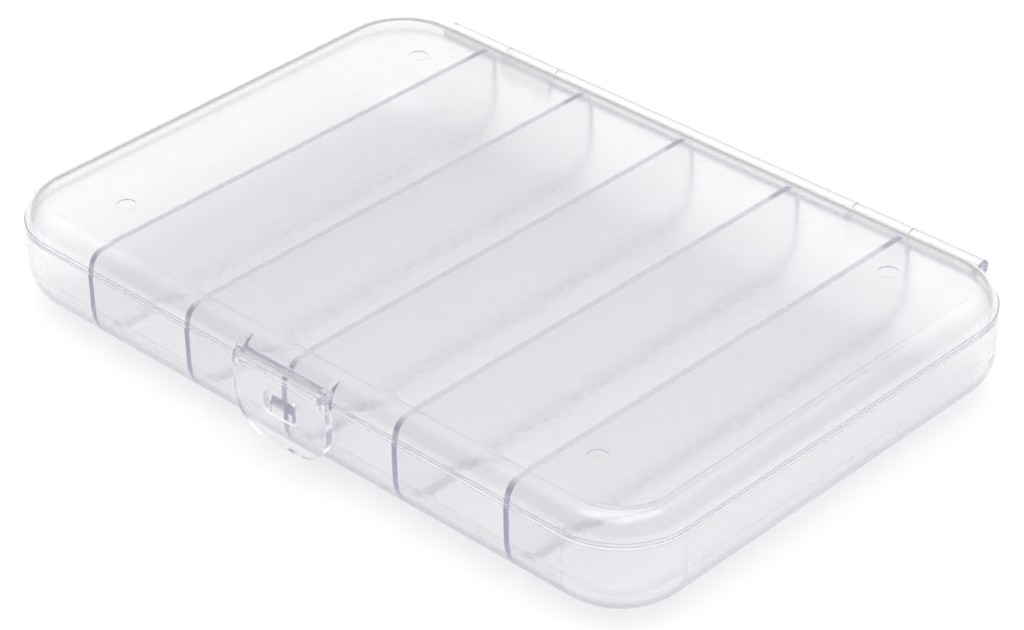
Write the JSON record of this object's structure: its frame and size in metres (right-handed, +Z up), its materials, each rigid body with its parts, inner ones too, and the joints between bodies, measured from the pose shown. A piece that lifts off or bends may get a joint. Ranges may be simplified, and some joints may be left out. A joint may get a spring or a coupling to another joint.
{
  "type": "fly box",
  "caption": "Slim clear fly box: a tray with cross dividers, a lid hinged on two steel pins and a pivoting front latch.",
  "frame": {"origin": "middle of the tray's flat underside", "axes": "+X along the long side, +Y from the latch at the front to the hinge at the back, +Z up"},
  "size_m": [0.205, 0.145, 0.028],
  "materials": {
    "clear_plastic": "clear polished styrene, water-white with a faint blue-violet tint along its edges",
    "pin_steel": "plain drawn steel wire"
  },
  "bodies": {
    "tray_body": {"tray": "clear_plastic"},
    "lid_body": {"lid": "clear_plastic", "left_hinge_pin": "pin_steel", "right_hinge_pin": "pin_steel"},
    "latch_body": {"latch": "clear_plastic"}
  },
  "joints": [
    {"name": "lid_hinge", "type": "hinge", "parent": "tray_body", "child": "lid_body", "pos_m": [0, 0.0716, 0.0219], "axis": [-1, 0, 0], "range_deg": [0, 180]},
    {"name": "latch_pivot", "type": "hinge", "parent": "lid_body", "child": "latch_body", "pos_m": [0, -0.0695, 0.0242], "axis": [-1, 0, 0], "range_deg": [0, 120]}
  ]
}
